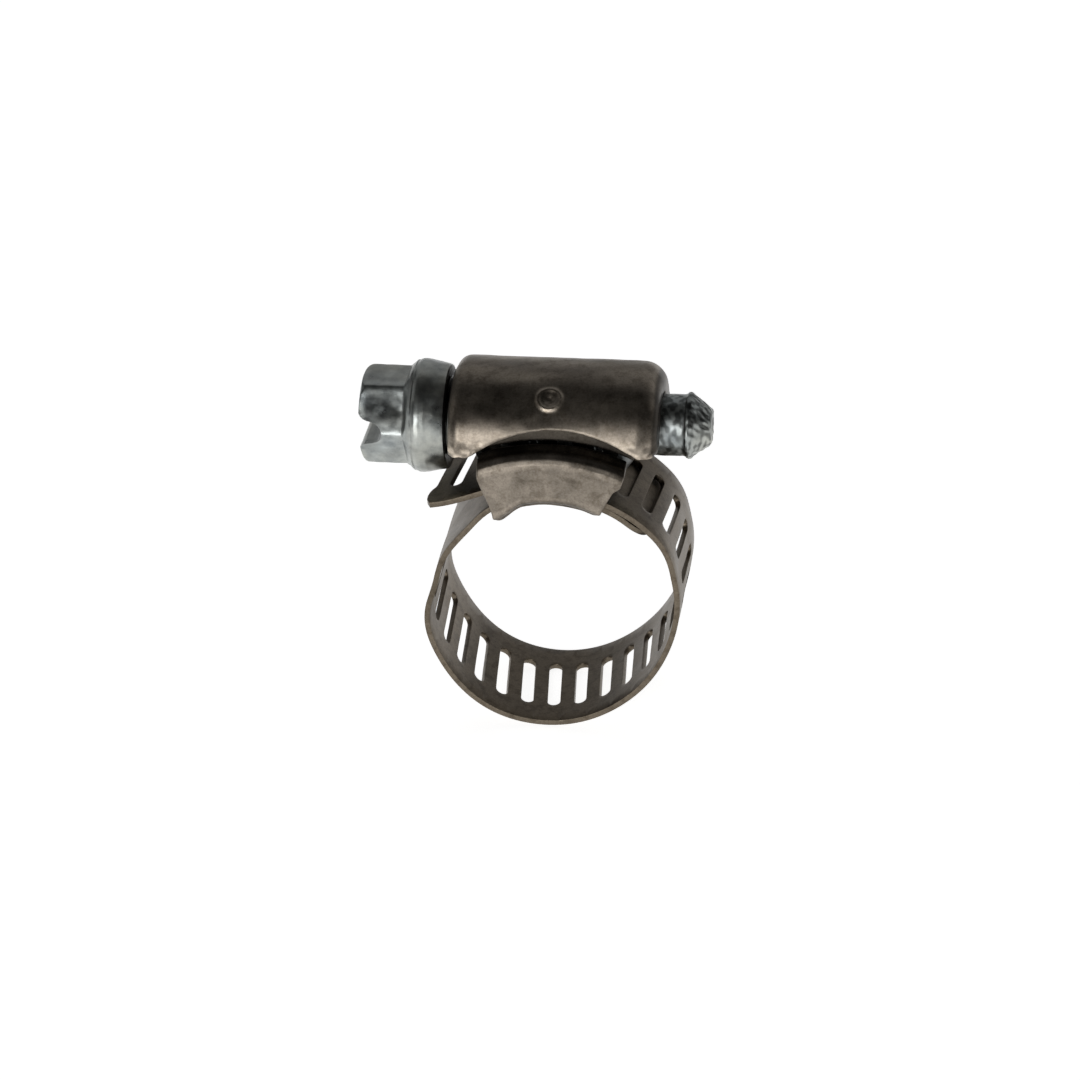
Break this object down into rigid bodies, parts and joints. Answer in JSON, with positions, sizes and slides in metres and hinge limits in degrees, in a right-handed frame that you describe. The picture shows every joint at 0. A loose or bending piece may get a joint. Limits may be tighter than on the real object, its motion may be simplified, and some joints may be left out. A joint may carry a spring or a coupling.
{
  "type": "hose clamp",
  "caption": "Worm-drive hose clamp: a perforated steel band pulled tight by a hex-head screw held in a drawn housing on a saddle.",
  "frame": {"origin": "centre of the clamped bore, on the bore's axis and midway across the band's width", "axes": "+Y along the hose, +X along the screw from its hex head to its tip, +Z from the bore up through the housing"},
  "size_m": [0.0312, 0.0138, 0.0331],
  "materials": {
    "band_steel": "rolled stainless strip, satin, slightly smeared",
    "housing_steel": "drawn stainless sheet, satin with forming marks",
    "plated_screw": "zinc plated steel, mottled and bright on its edges"
  },
  "bodies": {
    "root": {"housing": "housing_steel", "saddle": "housing_steel", "band_loop": "band_steel"},
    "screw": {"screw": "plated_screw"},
    "free_end": {"band_free_end": "band_steel"}
  },
  "joints": [
    {"name": "screw_turn", "type": "hinge", "parent": "root", "child": "screw", "pos_m": [0, 0, 0.0163], "axis": [1, 0, 0], "range_deg": [0, 720]},
    {"name": "band_feed", "type": "hinge", "parent": "root", "child": "free_end", "pos_m": [0, 0, 0], "axis": [0, -1, 0], "range_deg": [0, 24]}
  ],
  "couplings": [
    {"joint": "band_feed", "follows": "screw_turn", "ratio": 0.032813}
  ]
}
